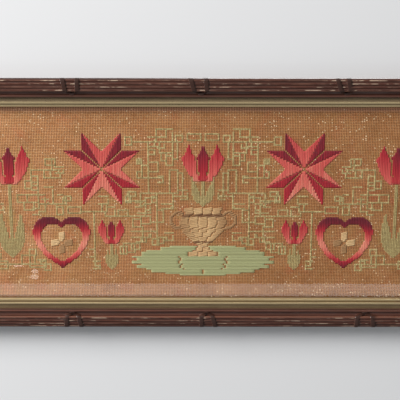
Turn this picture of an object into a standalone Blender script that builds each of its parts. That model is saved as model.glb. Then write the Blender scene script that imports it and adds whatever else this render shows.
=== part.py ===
"""Framed cross stitch sampler: a punched-paper sheet behind glass in a reeded rail frame.

The frame hangs upright on a wall. X runs along its width, Z is up and Y runs into the wall,
so the face looks along -Y. The origin is on the flat back of the top rail, half way along it.

Both mouldings are drawn as a section: "inward" is the distance from the frame's outer edge
towards the opening, and "height" is the distance from the wall.
"""

import math

import bmesh
import bpy
from mathutils import Matrix, Vector

MM = 0.001

# The sheet, and the strip of it that the gilt slip covers on each side.
SHEET_WIDTH = 533.0 * MM
SHEET_HEIGHT = 216.0 * MM
COVERED_STRIP = 5.0 * MM
SEAT_GAP = 0.3 * MM

# Dark wood rail, from its outer edge inwards: reeds, a cove and a bead.
REED_COUNT = 4
REED_PITCH = 3.2 * MM
REED_RELIEF = 1.1 * MM
REED_FOOT = 18.0 * MM
SHOULDER_DROP = 1.7 * MM
COVE_WIDTH = 3.4 * MM
COVE_DEPTH = 1.4 * MM
COVE_FOOT = 16.8 * MM
BEAD_WIDTH = 3.4 * MM
BEAD_RELIEF = 1.8 * MM
BEAD_FOOT = 14.7 * MM

# The rail's outer side, which slopes in towards the wall, and its rebate.
SIDE_FOOT = 12.5 * MM
BACK_INSET = 3.8 * MM
REBATE_START = 14.0 * MM
LIP_UNDERSIDE = 11.5 * MM

# Gilt slip: an outer slope, a high bead, a groove and a sight bead that falls to the glass.
SLOPE_WIDTH = 3.9 * MM
SLOPE_FOOT = 12.2 * MM
SLOPE_TOP = 15.1 * MM
HIGH_BEAD_WIDTH = 2.7 * MM
HIGH_BEAD_RELIEF = 1.0 * MM
GROOVE_WIDTH = 0.7 * MM
GROOVE_FOOT = 13.2 * MM
SIGHT_BEAD_WIDTH = 3.7 * MM
SIGHT_BEAD_RELIEF = 1.8 * MM
SIGHT_EDGE = 9.3 * MM
SLIP_UNDERSIDE = 8.8 * MM
SLIP_BACK = 1.4 * MM

# What lies behind the slip, from the glass back to the board: thicknesses and heights.
GLASS_THICKNESS = 2.0 * MM
SHEET_THICKNESS = 1.0 * MM
STITCH_ROOM = 0.8 * MM
BOARD_THICKNESS = 3.0 * MM

# The carved ribbon ties: two bands across the reeds that meet in the cove.
RIBBON_WIDTH = 4.9 * MM
RIBBON_OVERHANG = 0.6 * MM
RIBBON_RISE = 0.7 * MM
RIBBON_ROOT = 12.0 * MM
RIBBON_DRAW_IN = 1.2 * MM
APEX_OUTER = 17.8 * MM
APEX_INNER = 14.2 * MM

# One row for each tie. "along" and "lean" are measured to the right or upwards: lean is the
# sideways shift for each millimetre inwards. "spread" is the distance between the bands.
# columns: side, along, spread, lean
CARVED_TIES = (
    ("top", -135.0 * MM, 15.0 * MM, 0.15),
    ("top", -4.0 * MM, 15.8 * MM, 0.20),
    ("top", 141.0 * MM, 11.5 * MM, 0.12),
    ("bottom", -139.0 * MM, 15.3 * MM, -0.08),
    ("bottom", 4.0 * MM, 14.5 * MM, -0.12),
    ("bottom", 171.0 * MM, 18.8 * MM, 0.0),
    ("left", 0.0, 15.0 * MM, 0.0),
    ("right", 0.0, 15.0 * MM, 0.0),
)

ARC_STEPS = 6

# Widths that follow from the sizes above.
REEDS_WIDTH = REED_COUNT * REED_PITCH
RAIL_FACE = REEDS_WIDTH + COVE_WIDTH + BEAD_WIDTH
SLIP_FACE = SLOPE_WIDTH + HIGH_BEAD_WIDTH + GROOVE_WIDTH + SIGHT_BEAD_WIDTH
SLIP_START = RAIL_FACE + SEAT_GAP
SIGHT_INWARD = SLIP_START + SLIP_FACE
FRAME_WIDTH = SHEET_WIDTH - 2 * COVERED_STRIP + 2 * SIGHT_INWARD
FRAME_HEIGHT = SHEET_HEIGHT - 2 * COVERED_STRIP + 2 * SIGHT_INWARD
REED_CREST = REED_FOOT + REED_RELIEF

# The wall mount is half way across the top rail's flat back.
MOUNT_INWARD = (BACK_INSET + REBATE_START) / 2
FRAME_CENTRE = Vector((0.0, 0.0, MOUNT_INWARD - FRAME_HEIGHT / 2))

# For each side: the turn about Y from the bottom rail, the distance from the frame's centre to
# the outer edge, the rail's outer length, and the direction of its own length.
# columns: turn, reach, length, direction
SIDES = {
    "bottom": (0.0, FRAME_HEIGHT / 2, FRAME_WIDTH, 1),
    "right": (-90.0, FRAME_WIDTH / 2, FRAME_HEIGHT, 1),
    "top": (180.0, FRAME_HEIGHT / 2, FRAME_WIDTH, -1),
    "left": (90.0, FRAME_WIDTH / 2, FRAME_HEIGHT, -1),
}


def clear_scene():
    """Remove whatever the file opened with."""
    for obj in list(bpy.data.objects):
        bpy.data.objects.remove(obj, do_unlink=True)
    for collection in list(bpy.data.collections):
        bpy.data.collections.remove(collection)


def new_collection(name):
    collection = bpy.data.collections.new(name)
    bpy.context.scene.collection.children.link(collection)
    return collection


def finish_material(name, colour, roughness, metallic=0.0, alpha=1.0):
    """A Principled material of one plain finish."""
    material = bpy.data.materials.new(name)
    material.use_nodes = True
    shader = material.node_tree.nodes["Principled BSDF"]
    shader.inputs["Base Color"].default_value = (*colour, 1.0)
    shader.inputs["Roughness"].default_value = roughness
    shader.inputs["Metallic"].default_value = metallic
    shader.inputs["Alpha"].default_value = alpha
    material.diffuse_color = (*colour, alpha)
    return material


def rounded_run(start, end, relief, steps=ARC_STEPS):
    """Points of a bead (relief > 0) or a cove (relief < 0) from one foot to the other."""
    points = []
    for step in range(steps + 1):
        turn = math.pi * step / steps
        share = (1 - math.cos(turn)) / 2
        inward = start[0] + (end[0] - start[0]) * share
        height = start[1] + (end[1] - start[1]) * share + relief * math.sin(turn)
        points.append((inward, height))
    return points


def reed_foot(inward):
    """Height of the valleys between the reeds: level inside, lower at the outer shoulder."""
    from_inner = 1 - inward / REEDS_WIDTH
    return REED_FOOT - SHOULDER_DROP * from_inner ** 3


def rail_section():
    """The wood rail's section, from its back over the reeds to the rebate."""
    section = [(BACK_INSET, 0.0), (SEAT_GAP, SIDE_FOOT)]
    for reed in range(REED_COUNT):
        start = reed * REED_PITCH
        end = start + REED_PITCH
        arc = rounded_run((start, reed_foot(start)), (end, reed_foot(end)), REED_RELIEF)
        section += arc[:-1]
    cove_start = REEDS_WIDTH
    bead_start = cove_start + COVE_WIDTH
    section.append((cove_start, REED_FOOT))
    section += rounded_run((cove_start, COVE_FOOT), (bead_start, BEAD_FOOT), -COVE_DEPTH)[1:-1]
    section += rounded_run((bead_start, BEAD_FOOT), (RAIL_FACE, BEAD_FOOT), BEAD_RELIEF)
    section += [(RAIL_FACE, LIP_UNDERSIDE), (REBATE_START, LIP_UNDERSIDE), (REBATE_START, 0.0)]
    return section


def slip_section():
    """The gilt slip's section, with its flange under the rail's lip and its own rebate."""
    flange = REBATE_START + SEAT_GAP
    slope_end = SLIP_START + SLOPE_WIDTH
    groove_start = slope_end + HIGH_BEAD_WIDTH
    groove_end = groove_start + GROOVE_WIDTH
    rebate = SIGHT_INWARD - COVERED_STRIP - SEAT_GAP
    section = [(flange, SLIP_BACK), (flange, LIP_UNDERSIDE - SEAT_GAP)]
    section += [(SLIP_START, LIP_UNDERSIDE - SEAT_GAP), (SLIP_START, SLOPE_FOOT)]
    section += rounded_run((slope_end, SLOPE_TOP), (groove_start, SLOPE_TOP), HIGH_BEAD_RELIEF)
    section += [(groove_start, GROOVE_FOOT), (groove_end, GROOVE_FOOT)]
    section += rounded_run((groove_end, GROOVE_FOOT), (SIGHT_INWARD, SIGHT_EDGE),
                           SIGHT_BEAD_RELIEF)[1:]
    section += [(SIGHT_INWARD, SLIP_UNDERSIDE), (rebate, SLIP_UNDERSIDE), (rebate, SLIP_BACK)]
    return section


def ribbon_envelope():
    """Section of what the carver left standing for a ribbon: a skin over the reeds and cove."""
    crest = REED_CREST + RIBBON_RISE
    shoulder = reed_foot(0.0) + RIBBON_RISE
    cove_middle = REEDS_WIDTH + COVE_WIDTH / 2
    bead_middle = RAIL_FACE - BEAD_WIDTH / 2
    return [
        (REED_PITCH, RIBBON_ROOT),
        (-RIBBON_OVERHANG, RIBBON_ROOT + RIBBON_RISE),
        (-RIBBON_OVERHANG, shoulder),
        (REED_PITCH / 4, crest - SHOULDER_DROP / 2),
        (REED_PITCH, crest - SHOULDER_DROP / 6),
        (2 * REED_PITCH, crest),
        (REEDS_WIDTH - REED_PITCH / 3, crest),
        (REEDS_WIDTH + RIBBON_RISE, crest - REED_RELIEF),
        (cove_middle, COVE_FOOT - RIBBON_RISE / 2),
        (bead_middle, BEAD_FOOT + BEAD_RELIEF + RIBBON_RISE / 2),
        (RAIL_FACE - RIBBON_RISE, BEAD_FOOT + RIBBON_RISE),
        (RAIL_FACE - RIBBON_RISE, RIBBON_ROOT),
    ]


def tie_outline(spread, lean):
    """Plan of one tie, as (along, inward): two bands over the reeds, joined in the cove."""
    half = RIBBON_WIDTH / 2
    outer_end = -2 * RIBBON_OVERHANG
    bend = REEDS_WIDTH - RIBBON_OVERHANG
    foot = spread / 2
    waist = foot - RIBBON_DRAW_IN
    right = [
        (foot + half, outer_end),
        (waist + half, bend),
        (0.0, APEX_OUTER),
    ]
    inner = [
        (foot - half, outer_end),
        (waist - half, bend),
        (0.0, APEX_INNER),
    ]
    left = [(-along, inward) for along, inward in reversed(right[:-1])]
    inner_left = [(-along, inward) for along, inward in inner[:-1]]
    plan = right + left + inner_left + list(reversed(inner))
    return [(along + lean * inward, inward) for along, inward in plan]


def prism(name, outline, length, collection):
    """A flat outline in its own XY plane, given a thickness along Z, as a closed mesh."""
    curve = bpy.data.curves.new(name, "CURVE")
    curve.dimensions = "2D"
    curve.fill_mode = "BOTH"
    curve.extrude = length / 2
    spline = curve.splines.new("POLY")
    spline.points.add(len(outline) - 1)
    for point, (x, y) in zip(spline.points, outline):
        point.co = (x, y, 0.0, 1.0)
    spline.use_cyclic_u = True
    outline_object = bpy.data.objects.new(name + "_outline", curve)
    collection.objects.link(outline_object)

    evaluated = outline_object.evaluated_get(bpy.context.evaluated_depsgraph_get())
    mesh = bpy.data.meshes.new_from_object(evaluated)
    bpy.data.objects.remove(outline_object, do_unlink=True)
    work = bmesh.new()
    work.from_mesh(mesh)
    bmesh.ops.remove_doubles(work, verts=work.verts, dist=0.01 * MM)
    bmesh.ops.recalc_face_normals(work, faces=work.faces)
    work.to_mesh(mesh)
    work.free()
    mesh.name = name
    solid = bpy.data.objects.new(name, mesh)
    collection.objects.link(solid)
    return solid


def cut_mitres(solid, length):
    """Slide every end point in by its distance from the outer edge, which makes 45 degree ends."""
    for vertex in solid.data.vertices:
        end = math.copysign(1.0, vertex.co.z)
        vertex.co.z = end * (length / 2 - vertex.co.x - SEAT_GAP / math.sqrt(2))


def add_ring(solid, along):
    """Divide a rail's long faces across, so that carving there leaves no needle-thin faces."""
    work = bmesh.new()
    work.from_mesh(solid.data)
    everything = list(work.verts) + list(work.edges) + list(work.faces)
    bmesh.ops.bisect_plane(work, geom=everything, plane_co=(0, 0, along), plane_no=(0, 0, 1))
    work.to_mesh(solid.data)
    work.free()


def shade_rounded(solid):
    solid.data.shade_smooth()
    solid.data.set_sharp_from_angle(angle=math.radians(35))


def side_matrix(side):
    """From a section's own axes (inward, height, length) to its place in the frame."""
    turn, reach = SIDES[side][:2]
    section_axes = Matrix(((0, 0, 1), (0, -1, 0), (1, 0, 0))).to_4x4()
    return (Matrix.Translation(FRAME_CENTRE)
            @ Matrix.Rotation(math.radians(turn), 4, "Y")
            @ Matrix.Translation((0.0, 0.0, -reach))
            @ section_axes)


def apply_modifiers(solid):
    """Keep the evaluated mesh, so that its new edges can be shaded too."""
    bpy.context.view_layer.update()
    evaluated = solid.evaluated_get(bpy.context.evaluated_depsgraph_get())
    carved = bpy.data.meshes.new_from_object(evaluated)
    solid.modifiers.clear()
    solid.data = carved


def add_boolean(solid, other, operation):
    modifier = solid.modifiers.new(operation.title(), "BOOLEAN")
    modifier.operation = operation
    modifier.object = other
    modifier.solver = "EXACT"


def hide_guide(guide):
    guide.hide_render = True
    guide.display_type = "WIRE"


def carve_tie(rail, side, along, spread, lean, guides):
    """Leave one crossed ribbon standing on a rail."""
    direction = SIDES[side][3]
    for edge in (-1, 1):
        add_ring(rail, direction * along + edge * spread)
    name = f"{rail.name}_tie_{len(rail.modifiers) + 1}"
    ribbon = prism(name, tie_outline(spread, direction * lean), 2 * REED_CREST, guides)
    ribbon_axes = Matrix(((0, 1, 0), (0, 0, 1), (1, 0, 0))).to_4x4()
    place = Matrix.Translation((0.0, REED_CREST, direction * along))
    ribbon.matrix_world = side_matrix(side) @ place @ ribbon_axes
    hide_guide(ribbon)

    envelope = prism(name + "_skin", ribbon_envelope(), 2 * spread, guides)
    envelope.matrix_world = side_matrix(side) @ Matrix.Translation((0, 0, direction * along))
    hide_guide(envelope)
    add_boolean(ribbon, envelope, "INTERSECT")
    add_boolean(rail, ribbon, "UNION")


def make_rails(parts, guides):
    wood = finish_material("dark_wood", (0.075, 0.032, 0.024), 0.42)
    for side, (_turn, _reach, length, _direction) in SIDES.items():
        rail = prism(f"rail_{side}", rail_section(), length, parts)
        cut_mitres(rail, length)
        rail.matrix_world = side_matrix(side)
        rail.data.materials.append(wood)
        for tie_side, along, spread, lean in CARVED_TIES:
            if tie_side == side:
                carve_tie(rail, side, along, spread, lean, guides)
        apply_modifiers(rail)
        shade_rounded(rail)


def make_slips(parts):
    gilt = finish_material("gilding", (0.42, 0.30, 0.16), 0.38, metallic=0.6)
    for side, (_turn, _reach, length, _direction) in SIDES.items():
        slip = prism(f"slip_{side}", slip_section(), length, parts)
        cut_mitres(slip, length)
        slip.matrix_world = side_matrix(side)
        slip.data.materials.append(gilt)
        shade_rounded(slip)


def make_panel(name, front, thickness, material, parts):
    """A flat panel of the sheet's outline, whose front lies at a height above the wall."""
    bpy.ops.mesh.primitive_cube_add(size=1.0)
    panel = bpy.context.object
    panel.name = name
    panel.data.name = name
    panel.data.transform(Matrix.Diagonal((SHEET_WIDTH, thickness, SHEET_HEIGHT, 1.0)))
    panel.location = FRAME_CENTRE + Vector((0.0, thickness / 2 - front, 0.0))
    panel.data.materials.append(material)
    for collection in list(panel.users_collection):
        collection.objects.unlink(panel)
    parts.objects.link(panel)
    return panel


def make_contents(parts):
    """Glass, punched-paper sheet and backing board, from the slip's rebate to the back."""
    glass_front = SLIP_UNDERSIDE - SEAT_GAP
    sheet_front = glass_front - GLASS_THICKNESS - STITCH_ROOM
    board_front = sheet_front - SHEET_THICKNESS - SEAT_GAP
    glass = finish_material("clear_glass", (0.9, 0.95, 0.93), 0.04, alpha=0.12)
    paper = finish_material("punched_paper", (0.34, 0.175, 0.095), 0.8)
    board = finish_material("backing_board", (0.30, 0.20, 0.12), 0.85)
    make_panel("glass_pane", glass_front, GLASS_THICKNESS, glass, parts)
    make_panel("sampler_sheet", sheet_front, SHEET_THICKNESS, paper, parts)
    make_panel("backing_board", board_front, BOARD_THICKNESS, board, parts)


def main():
    clear_scene()
    parts = new_collection("framed_cross_stitch_sampler")
    guides = new_collection("guides")
    make_rails(parts, guides)
    make_slips(parts)
    make_contents(parts)


main()
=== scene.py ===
# %% [markdown]
# # A framed sampler on punched paper
# The object is a sheet of brown punched paper, worked in red, sage and straw coloured thread.
# It lies behind glass in a dark reeded frame with a gilt slip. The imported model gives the
# pieces at their real size, and this lesson dresses them. Every size below is in metres, and
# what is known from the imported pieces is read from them, so that nothing has to be fitted.

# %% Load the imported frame
import math

import bmesh
import bpy
import numpy as np
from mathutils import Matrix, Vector


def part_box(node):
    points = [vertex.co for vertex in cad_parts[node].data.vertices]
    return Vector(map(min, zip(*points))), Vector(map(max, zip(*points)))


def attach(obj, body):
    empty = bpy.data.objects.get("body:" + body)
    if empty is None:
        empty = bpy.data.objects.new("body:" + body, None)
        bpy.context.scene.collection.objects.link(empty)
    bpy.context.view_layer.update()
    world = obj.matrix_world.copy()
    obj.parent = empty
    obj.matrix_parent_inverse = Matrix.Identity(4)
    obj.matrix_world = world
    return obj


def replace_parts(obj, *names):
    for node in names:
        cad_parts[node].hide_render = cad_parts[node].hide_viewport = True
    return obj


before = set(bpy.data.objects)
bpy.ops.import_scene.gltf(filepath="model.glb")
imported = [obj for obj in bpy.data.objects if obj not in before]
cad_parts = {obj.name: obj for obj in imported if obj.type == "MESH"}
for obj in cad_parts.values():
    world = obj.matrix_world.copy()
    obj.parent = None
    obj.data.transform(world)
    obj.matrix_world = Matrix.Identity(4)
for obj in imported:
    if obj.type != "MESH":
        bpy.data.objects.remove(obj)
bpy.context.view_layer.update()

# %% [markdown]
# ## Sizes
# The slip's inner edges bound the sight, the part of the sheet that shows. The punched holes
# set the scale of all the needlework: one cell of the chart is one square between four holes.
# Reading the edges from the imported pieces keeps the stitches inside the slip.

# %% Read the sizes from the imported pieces
MM = 0.001
sheet_low, sheet_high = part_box("sampler_sheet")
glass_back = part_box("glass_pane")[1].y
sight_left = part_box("slip_left")[1].x
sight_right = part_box("slip_right")[0].x
sight_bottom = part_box("slip_bottom")[1].z
sight_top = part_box("slip_top")[0].z
CENTRE_Z = (sheet_low.z + sheet_high.z) / 2
PITCH = 1.665 * MM
SIGHT_COLUMNS = int((sight_right - sight_left) / PITCH)
SIGHT_ROWS = int((sight_top - sight_bottom) / PITCH)
print("sight", SIGHT_COLUMNS, "by", SIGHT_ROWS, "holes; middle at", round(CENTRE_Z, 4))

# %% [markdown]
# ## Camera
# The photographer stands in front of the frame and looks slightly down on it, from well back,
# with a long lens. The lens is worked out from a picture 400 pixels wide, and the camera is
# turned a little so that the frame's middle falls where it does in the photograph.

# %% Place the camera
PICTURE_SIDE = 400
FOCAL_PIXELS = 1320
MIDDLE_PIXEL = (203, 201.5)
LOOK_DOWN = math.radians(18.9)
CAMERA_DISTANCE = 1.363
middle = Vector((0.0, 0.0, CENTRE_Z))
away = Vector((0.0, -math.cos(LOOK_DOWN), math.sin(LOOK_DOWN)))
picture_up = Vector((0.0, math.sin(LOOK_DOWN), math.cos(LOOK_DOWN)))
pixel = CAMERA_DISTANCE / FOCAL_PIXELS
aim = middle + Vector((PICTURE_SIDE / 2 - MIDDLE_PIXEL[0], 0, 0)) * pixel
aim += picture_up * (MIDDLE_PIXEL[1] - PICTURE_SIDE / 2) * pixel
camera = bpy.data.objects.new("camera", bpy.data.cameras.new("camera"))
camera.data.sensor_width = 36.0
camera.data.lens = camera.data.sensor_width * FOCAL_PIXELS / PICTURE_SIDE
camera.location = middle + away * CAMERA_DISTANCE
camera.rotation_mode = "QUATERNION"
camera.rotation_quaternion = (aim - camera.location).to_track_quat("-Z", "Y")
bpy.context.scene.collection.objects.link(camera)
bpy.context.scene.camera = camera
bpy.context.scene.view_settings.view_transform = "Standard"
print("lens", round(camera.data.lens, 1), "mm")

# %% [markdown]
# ## Sockets that do sums
# A shader is a graph of nodes, and maths on a mask can take a dozen of them. The class wraps a
# socket, so that `1 - mask * 2` adds those nodes by itself. Any other node comes from the one
# method `node`, which sets the node's options first and then fills or links its sockets.


# %% Wrap a socket
class Wire:
    """An output of a shader node, which can stand in a Python expression."""

    def __init__(self, tree, socket=None):
        self.tree = tree
        self.socket = socket

    def node(self, kind, settings=None, sockets=None, output=0):
        """Add a node: its settings first, then the values or links of its sockets."""
        made = self.tree.nodes.new(kind)
        for name, value in (settings or {}).items():
            if name == "stops":
                fill_ramp(made.color_ramp, value)
            else:
                setattr(made, name, value)
        for name, value in (sockets or {}).items():
            if isinstance(value, Wire):
                self.tree.links.new(value.socket, made.inputs[name])
            else:
                made.inputs[name].default_value = value
        return Wire(self.tree, made.outputs[output]) if made.outputs else None

    def sum(self, operation, first, second=0.0):
        return self.node("ShaderNodeMath", {"operation": operation}, {0: first, 1: second})

    def __add__(self, other):
        return self.sum("ADD", self, other)

    __radd__ = __add__

    def __mul__(self, other):
        return self.sum("MULTIPLY", self, other)

    __rmul__ = __mul__

    def __sub__(self, other):
        return self.sum("SUBTRACT", self, other)

    def __rsub__(self, other):
        return self.sum("SUBTRACT", other, self)

    def __truediv__(self, other):
        return self.sum("DIVIDE", self, other)

    def __pow__(self, other):
        return self.sum("POWER", self, other)

    def __abs__(self):
        return self.sum("ABSOLUTE", self)


def fill_ramp(ramp, stops):
    """Give a colour ramp its (position, colour) stops."""
    while len(ramp.elements) < len(stops):
        ramp.elements.new(1.0)
    for element, (position, colour) in zip(ramp.elements, stops):
        element.position = position
        element.color = (*colour, 1.0)


# %% [markdown]
# ## Words for finishes
# The same few steps come back in every finish: read an attribute, stretch a position, take
# noise there, turn a number into a mask or a colour, mix two colours. Short functions with
# plain names keep each finish below readable as a recipe.


# %% Name the steps that read a place
def attribute(start, name, output=2):
    """A value stored on the mesh: output 2 is a number, and output 1 a vector."""
    return start.node("ShaderNodeAttribute", {"attribute_name": name}, None, output)


def object_place(start):
    """Where a point of the piece lies, in the piece's own axes."""
    return start.node("ShaderNodeTexCoord", None, None, 3)


def from_behind(start):
    """1 where a surface is seen from its back, and 0 from its front."""
    return start.node("ShaderNodeNewGeometry", None, None, 6)


def part_of(position, axis):
    """One number of a position: 0 is its x, 1 its y and 2 its z."""
    return position.node("ShaderNodeSeparateXYZ", None, {0: position}, axis)


def stretch(position, x, y, z):
    return position.node("ShaderNodeVectorMath", {"operation": "MULTIPLY"},
                         {0: position, 1: (x, y, z)})


# %% Name the steps that make masks and colours
def noise(position, scale=1.0, detail=3.0, roughness=0.55):
    return position.node("ShaderNodeTexNoise", {"normalize": True},
                         {"Vector": position, "Scale": scale, "Detail": detail,
                          "Roughness": roughness})


def streaked(grain, along, across, detail=3.0, roughness=0.55):
    """Noise drawn out along the grain, from its scales along the run and across it."""
    return noise(stretch(grain, along, across, across), 1.0, detail, roughness)


def spread(value, low, high, start=0.0, end=1.0):
    """Turn the range from low to high into a smooth mask from start to end."""
    return value.node("ShaderNodeMapRange", {"interpolation_type": "SMOOTHSTEP"},
                      {"Value": value, "From Min": low, "From Max": high,
                       "To Min": start, "To Max": end})


def mix(mask, first, second, blend="MIX"):
    """Blend two colours by a mask."""
    first, second = ((*c, 1.0) if isinstance(c, tuple) else c for c in (first, second))
    return mask.node("ShaderNodeMix", {"data_type": "RGBA", "blend_type": blend},
                     {0: mask, 6: first, 7: second}, output=2)


def ramp(value, stops):
    return value.node("ShaderNodeValToRGB", {"stops": stops}, {0: value})


def bump(height, depth, strength=1.0):
    return height.node("ShaderNodeBump", None,
                       {"Height": height, "Distance": depth, "Strength": strength})


# %% Open and close a finish
def new_finish(name):
    """An empty material and the wire that its nodes start from."""
    material = bpy.data.materials.new(name)
    material.use_nodes = True
    material.node_tree.nodes.clear()
    return material, Wire(material.node_tree)


def close_finish(material, shader):
    """Join a shader to the material's output, and return the material."""
    shader.node("ShaderNodeOutputMaterial", None, {"Surface": shader})
    print("finish", material.name, len(material.node_tree.nodes), "nodes")
    return material


def close_surface(material, start, sockets):
    """Close a finish with Blender's all-round surface shader and what goes into it."""
    return close_finish(material, start.node("ShaderNodeBsdfPrincipled", None, sockets))


# %% [markdown]
# ## Stage and light
# The frame hangs on a pale wall, so the stage is one plain wall with a floor below. The wall is
# seen from the front only and casts no shade, so that the back of the frame stays lit and can
# be looked at. One broad soft lamp above and to the left gives the shadow under the frame. The
# streak on the glass is a mirror image of something low and bright in the room: a thin lamp
# stands where a ray from the camera goes after it meets the bottom of the glass. The small
# blots at the lower left are made in the same way, with three tiny lamps.

# %% Build the wall and the floor
WALL_SIZE = (5.0, 3.4)
WALL_GAP = 0.4 * MM
WALL_PAINT = (0.705, 0.706, 0.714)
FLOOR_SIZE = (5.0, 5.0)
FLOOR_DROP = 1.2
FLOOR_PAINT = (0.80, 0.79, 0.78)


def stage_sheet(name, size, colour):
    """A plain oblong sheet for the stage, matt in front and clear from behind."""
    mesh = bpy.data.meshes.new(name)
    right, far = size[0] / 2, size[1] / 2
    corners = [(-right, -far, 0), (right, -far, 0), (right, far, 0), (-right, far, 0)]
    mesh.from_pydata(corners, [], [(0, 1, 2, 3)])
    piece = bpy.data.objects.new(name, mesh)
    bpy.context.scene.collection.objects.link(piece)
    material, start = new_finish(name)
    paint = start.node("ShaderNodeBsdfDiffuse", None, {"Color": (*colour, 1.0)})
    behind = from_behind(start)
    clear = start.node("ShaderNodeBsdfTransparent")
    shader = start.node("ShaderNodeMixShader", None, {0: behind, 1: paint, 2: clear})
    mesh.materials.append(close_finish(material, shader))
    piece.visible_diffuse = False
    piece.visible_glossy = False
    return piece


wall = stage_sheet("backdrop_wall", WALL_SIZE, WALL_PAINT)
wall.rotation_euler.x = math.radians(90)
wall.location = (0.0, WALL_GAP, CENTRE_Z + WALL_SIZE[1] / 2 - FLOOR_DROP)
wall.visible_shadow = False
floor = stage_sheet("floor", FLOOR_SIZE, FLOOR_PAINT)
floor.location = (0.0, 0.0, CENTRE_Z - FLOOR_DROP)
print("wall", round(wall.location.y, 4), "floor", round(floor.location.z, 3))

# %% Light the stage
KEY_ELEVATION = math.radians(32.5)
KEY_AZIMUTH = math.radians(-60)
KEY_DISTANCE = 3.2
key_way = Vector((math.sin(KEY_AZIMUTH) * math.cos(KEY_ELEVATION),
                  -math.cos(KEY_AZIMUTH) * math.cos(KEY_ELEVATION), math.sin(KEY_ELEVATION)))
# columns: name, place, (width, height), power in watts, colour
ROOM_LAMPS = (
    ("key_lamp", middle + key_way * KEY_DISTANCE, (1.0, 1.5), 168, (1.0, 0.997, 0.99)),
    ("gleam_lamp", middle + Vector((-0.1, -1.0, 2.3)), (2.4, 0.3), 8, (1.0, 0.97, 0.92)),
    ("back_lamp", Vector((0.8, 2.2, 0.9)), (2.0, 2.0), 30, (1.0, 1.0, 1.0)),
)


def lamp(name, place, target, size, power, colour, shape="RECTANGLE"):
    """A soft lamp of some (width, height) that faces its target."""
    light = bpy.data.lights.new(name, "AREA")
    light.shape = shape
    light.size, light.size_y = size
    light.energy = power
    light.color = colour
    holder = bpy.data.objects.new(name, light)
    holder.location = place
    holder.rotation_mode = "QUATERNION"
    holder.rotation_quaternion = (Vector(target) - Vector(place)).to_track_quat("-Z", "Y")
    bpy.context.scene.collection.objects.link(holder)
    print(name, [round(v, 3) for v in holder.location])
    return holder


for lamp_name, lamp_place, lamp_size, lamp_power, lamp_colour in ROOM_LAMPS:
    lamp(lamp_name, lamp_place, middle, lamp_size, lamp_power, lamp_colour)

# %% Hang the lamps whose images lie on the glass
IMAGE_DEPTH = 1.0
STREAK_TOP = 15 * MM
STREAK_WIDTH = 1.3
STREAK_POWER = 0.36
STREAK_COLOUR = (1.0, 0.98, 0.96)
BLOT_GLOW = 15.0
BLOT_COLOUR = (1.0, 0.94, 0.86)
# columns: x on the glass, height above the sight's lower edge, width, height, brightness
BLOTS = (
    (-192.4 * MM, 34.9 * MM, 11.0 * MM, 1.9 * MM, 1.0),
    (-175.6 * MM, 29.0 * MM, 7.5 * MM, 4.4 * MM, 0.8),
    (-176.4 * MM, 22.6 * MM, 9.0 * MM, 6.0 * MM, 0.7),
)
further = IMAGE_DEPTH / (glass_back - camera.location.y)


def mirrored(x, z):
    """Where a ray from the camera goes, as (x, z), after it meets the glass at (x, z)."""
    return x + (x - camera.location.x) * further, z + (z - camera.location.z) * further


def image_lamp(name, x, z, size, power, colour, shape):
    """A lamp that faces the glass squarely and is seen only as its image there."""
    hung = lamp(name, (x, glass_back - IMAGE_DEPTH, z), (x, 0.0, z), size, power, colour, shape)
    hung.visible_camera = False


streak_high = mirrored(0.0, sight_bottom + STREAK_TOP)[1]
streak_low = mirrored(0.0, sight_bottom - STREAK_TOP / 2)[1]
image_lamp("streak_lamp", 0.0, (streak_high + streak_low) / 2,
           (STREAK_WIDTH, streak_high - streak_low), STREAK_POWER, STREAK_COLOUR, "RECTANGLE")
for blot_x, blot_up, blot_width, blot_height, brightness in BLOTS:
    lamp_x, lamp_z = mirrored(blot_x, sight_bottom + blot_up)
    wide, high = blot_width * (1 + further), blot_height * (1 + further)
    image_lamp("blot_lamp", lamp_x, lamp_z, (wide, high), BLOT_GLOW * brightness * wide * high,
               BLOT_COLOUR, "ELLIPSE")

# %% Tint the room
AMBIENT = 0.32
BACKDROP = 0.80
IN_THE_GLASS = 0.05
ROOM_COLOUR = (0.955, 0.98, 1.0, 1.0)
world = bpy.data.worlds.new("room")
bpy.context.scene.world = world
world.use_nodes = True
world.node_tree.nodes.clear()
room = Wire(world.node_tree)
seen = room.node("ShaderNodeLightPath")
mirrored_ray = room.node("ShaderNodeLightPath", None, None, 4)
glow = AMBIENT + seen * (BACKDROP - AMBIENT) - mirrored_ray * (AMBIENT - IN_THE_GLASS)
sky = room.node("ShaderNodeBackground", None, {"Color": ROOM_COLOUR, "Strength": glow})
room.node("ShaderNodeOutputWorld", None, {"Surface": sky})
print("room", AMBIENT, "behind the frame", BACKDROP, "in the glass", IN_THE_GLASS)

# %% [markdown]
# ## Meshes from rings
# The mouldings and the sheet are all one idea: a closed ring of points, repeated along a run
# and joined to its neighbours, with a flat cap at each end. One function makes that mesh from
# an array, and stores what the finishes read: where a point lies along the grain, and how far
# it stands proud. Thousands of stitches use the same idea with very short runs.

# %% Join rings into a mesh
SMOOTH_ANGLE = 35


def ring_faces(runs, around):
    """The four-sided faces between neighbouring closed rings."""
    run = np.arange(runs - 1)[:, None] * around
    here = np.arange(around)[None, :]
    after = (here + 1) % around
    corners = (run + here, run + after, run + around + after, run + around + here)
    return np.stack(corners, axis=-1).reshape(-1, 4)


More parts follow.
